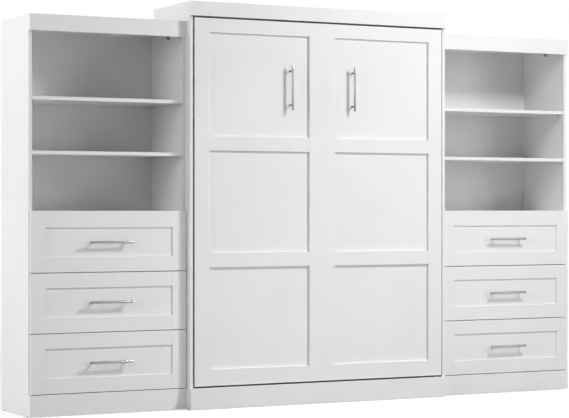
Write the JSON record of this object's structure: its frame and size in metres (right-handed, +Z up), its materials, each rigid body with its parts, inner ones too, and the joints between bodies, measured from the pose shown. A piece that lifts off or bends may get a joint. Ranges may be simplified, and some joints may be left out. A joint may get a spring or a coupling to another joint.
{
  "type": "wall bed",
  "caption": "Wall bed in a tall white cabinet with a folding panelled front, between open shelf towers with drawers and bar pulls.",
  "frame": {"origin": "on the floor, in the middle of the footprint of the closed bed", "axes": "+X along the wall to the right as seen from the room, +Y from the room to the wall, +Z up"},
  "size_m": [3.486, 0.533, 2.255],
  "materials": {
    "white_paint": "white lacquer on fibreboard, satin",
    "birch_ply": "clear lacquered birch plywood",
    "brushed_nickel": "brushed nickel plating on steel",
    "zinc_steel": "bright zinc plating on pressed steel",
    "painted_steel": "grey powder coat on steel",
    "black_steel": "black enamel on drawn steel tube",
    "polished_rod": "ground and chromed piston rod",
    "black_plastic": "moulded black plastic",
    "mattress_fabric": "knitted white ticking over foam and springs",
    "webbing": "woven dark grey strap"
  },
  "bodies": {
    "cabinet": {"left_tower_left_side": "white_paint", "left_tower_right_side": "white_paint", "left_tower_top": "white_paint", "left_tower_cornice": "white_paint", "left_tower_back": "white_paint", "left_tower_shelves": "white_paint", "left_tower_deck": "white_paint", "left_tower_bottom": "white_paint", "left_tower_plinth": "white_paint", "right_tower_left_side": "white_paint", "right_tower_right_side": "white_paint", "right_tower_top": "white_paint", "right_tower_cornice": "white_paint", "right_tower_back": "white_paint", "right_tower_shelves": "white_paint", "right_tower_deck": "white_paint", "right_tower_bottom": "white_paint", "right_tower_plinth": "white_paint", "bed_left_side": "white_paint", "bed_right_side": "white_paint", "bed_top": "white_paint", "bed_cornice": "white_paint", "bed_plinth": "white_paint", "headboard": "white_paint", "wall_rails": "white_paint", "glides": "black_plastic", "shelf_pins": "zinc_steel", "corner_blocks": "black_plastic", "cabinet_runners": "zinc_steel", "cabinet_side_plates": "zinc_steel", "strut_cylinders": "black_steel"},
    "bed": {"left_front": "white_paint", "right_front": "white_paint", "bed_pulls": "brushed_nickel", "bed_frame": "painted_steel", "slats": "birch_ply", "frame_side_plates": "zinc_steel", "mattress": "mattress_fabric", "mattress_straps": "webbing"},
    "leg": {"folding_leg": "painted_steel"},
    "left_rod": {"left_strut_rod": "polished_rod"},
    "right_rod": {"right_strut_rod": "polished_rod"},
    "left_top_drawer": {"left_top_drawer_front": "white_paint", "left_top_drawer_box": "birch_ply", "left_top_drawer_pull": "brushed_nickel"},
    "left_middle_drawer": {"left_middle_drawer_front": "white_paint", "left_middle_drawer_box": "birch_ply", "left_middle_drawer_pull": "brushed_nickel"},
    "left_bottom_drawer": {"left_bottom_drawer_front": "white_paint", "left_bottom_drawer_box": "birch_ply", "left_bottom_drawer_pull": "brushed_nickel"},
    "right_top_drawer": {"right_top_drawer_front": "white_paint", "right_top_drawer_box": "birch_ply", "right_top_drawer_pull": "brushed_nickel"},
    "right_middle_drawer": {"right_middle_drawer_front": "white_paint", "right_middle_drawer_box": "birch_ply", "right_middle_drawer_pull": "brushed_nickel"},
    "right_bottom_drawer": {"right_bottom_drawer_front": "white_paint", "right_bottom_drawer_box": "birch_ply", "right_bottom_drawer_pull": "brushed_nickel"}
  },
  "joints": [
    {"name": "bed_fold", "type": "hinge", "parent": "cabinet", "child": "bed", "pos_m": [0, -0.1635, 0.255], "axis": [1, 0, 0], "range_deg": [0, 90]},
    {"name": "leg_swing", "type": "hinge", "parent": "bed", "child": "leg", "pos_m": [0, -0.1635, 1.83], "axis": [1, 0, 0], "range_deg": [0, 90]},
    {"name": "left_strut_slide", "type": "slide", "parent": "cabinet", "child": "left_rod", "axis": [0, 0, 1], "range_m": [0, 0.17]},
    {"name": "right_strut_slide", "type": "slide", "parent": "cabinet", "child": "right_rod", "axis": [0, 0, 1], "range_m": [0, 0.17]},
    {"name": "left_top_drawer_slide", "type": "slide", "parent": "cabinet", "child": "left_top_drawer", "axis": [0, -1, 0], "range_m": [0, 0.3]},
    {"name": "left_middle_drawer_slide", "type": "slide", "parent": "cabinet", "child": "left_middle_drawer", "axis": [0, -1, 0], "range_m": [0, 0.3]},
    {"name": "left_bottom_drawer_slide", "type": "slide", "parent": "cabinet", "child": "left_bottom_drawer", "axis": [0, -1, 0], "range_m": [0, 0.3]},
    {"name": "right_top_drawer_slide", "type": "slide", "parent": "cabinet", "child": "right_top_drawer", "axis": [0, -1, 0], "range_m": [0, 0.3]},
    {"name": "right_middle_drawer_slide", "type": "slide", "parent": "cabinet", "child": "right_middle_drawer", "axis": [0, -1, 0], "range_m": [0, 0.3]},
    {"name": "right_bottom_drawer_slide", "type": "slide", "parent": "cabinet", "child": "right_bottom_drawer", "axis": [0, -1, 0], "range_m": [0, 0.3]}
  ],
  "couplings": [
    {"joint": "leg_swing", "follows": "bed_fold", "ratio": 1},
    {"joint": "left_strut_slide", "follows": "bed_fold", "m_per_rad": 0.1082},
    {"joint": "right_strut_slide", "follows": "bed_fold", "m_per_rad": 0.1082}
  ]
}
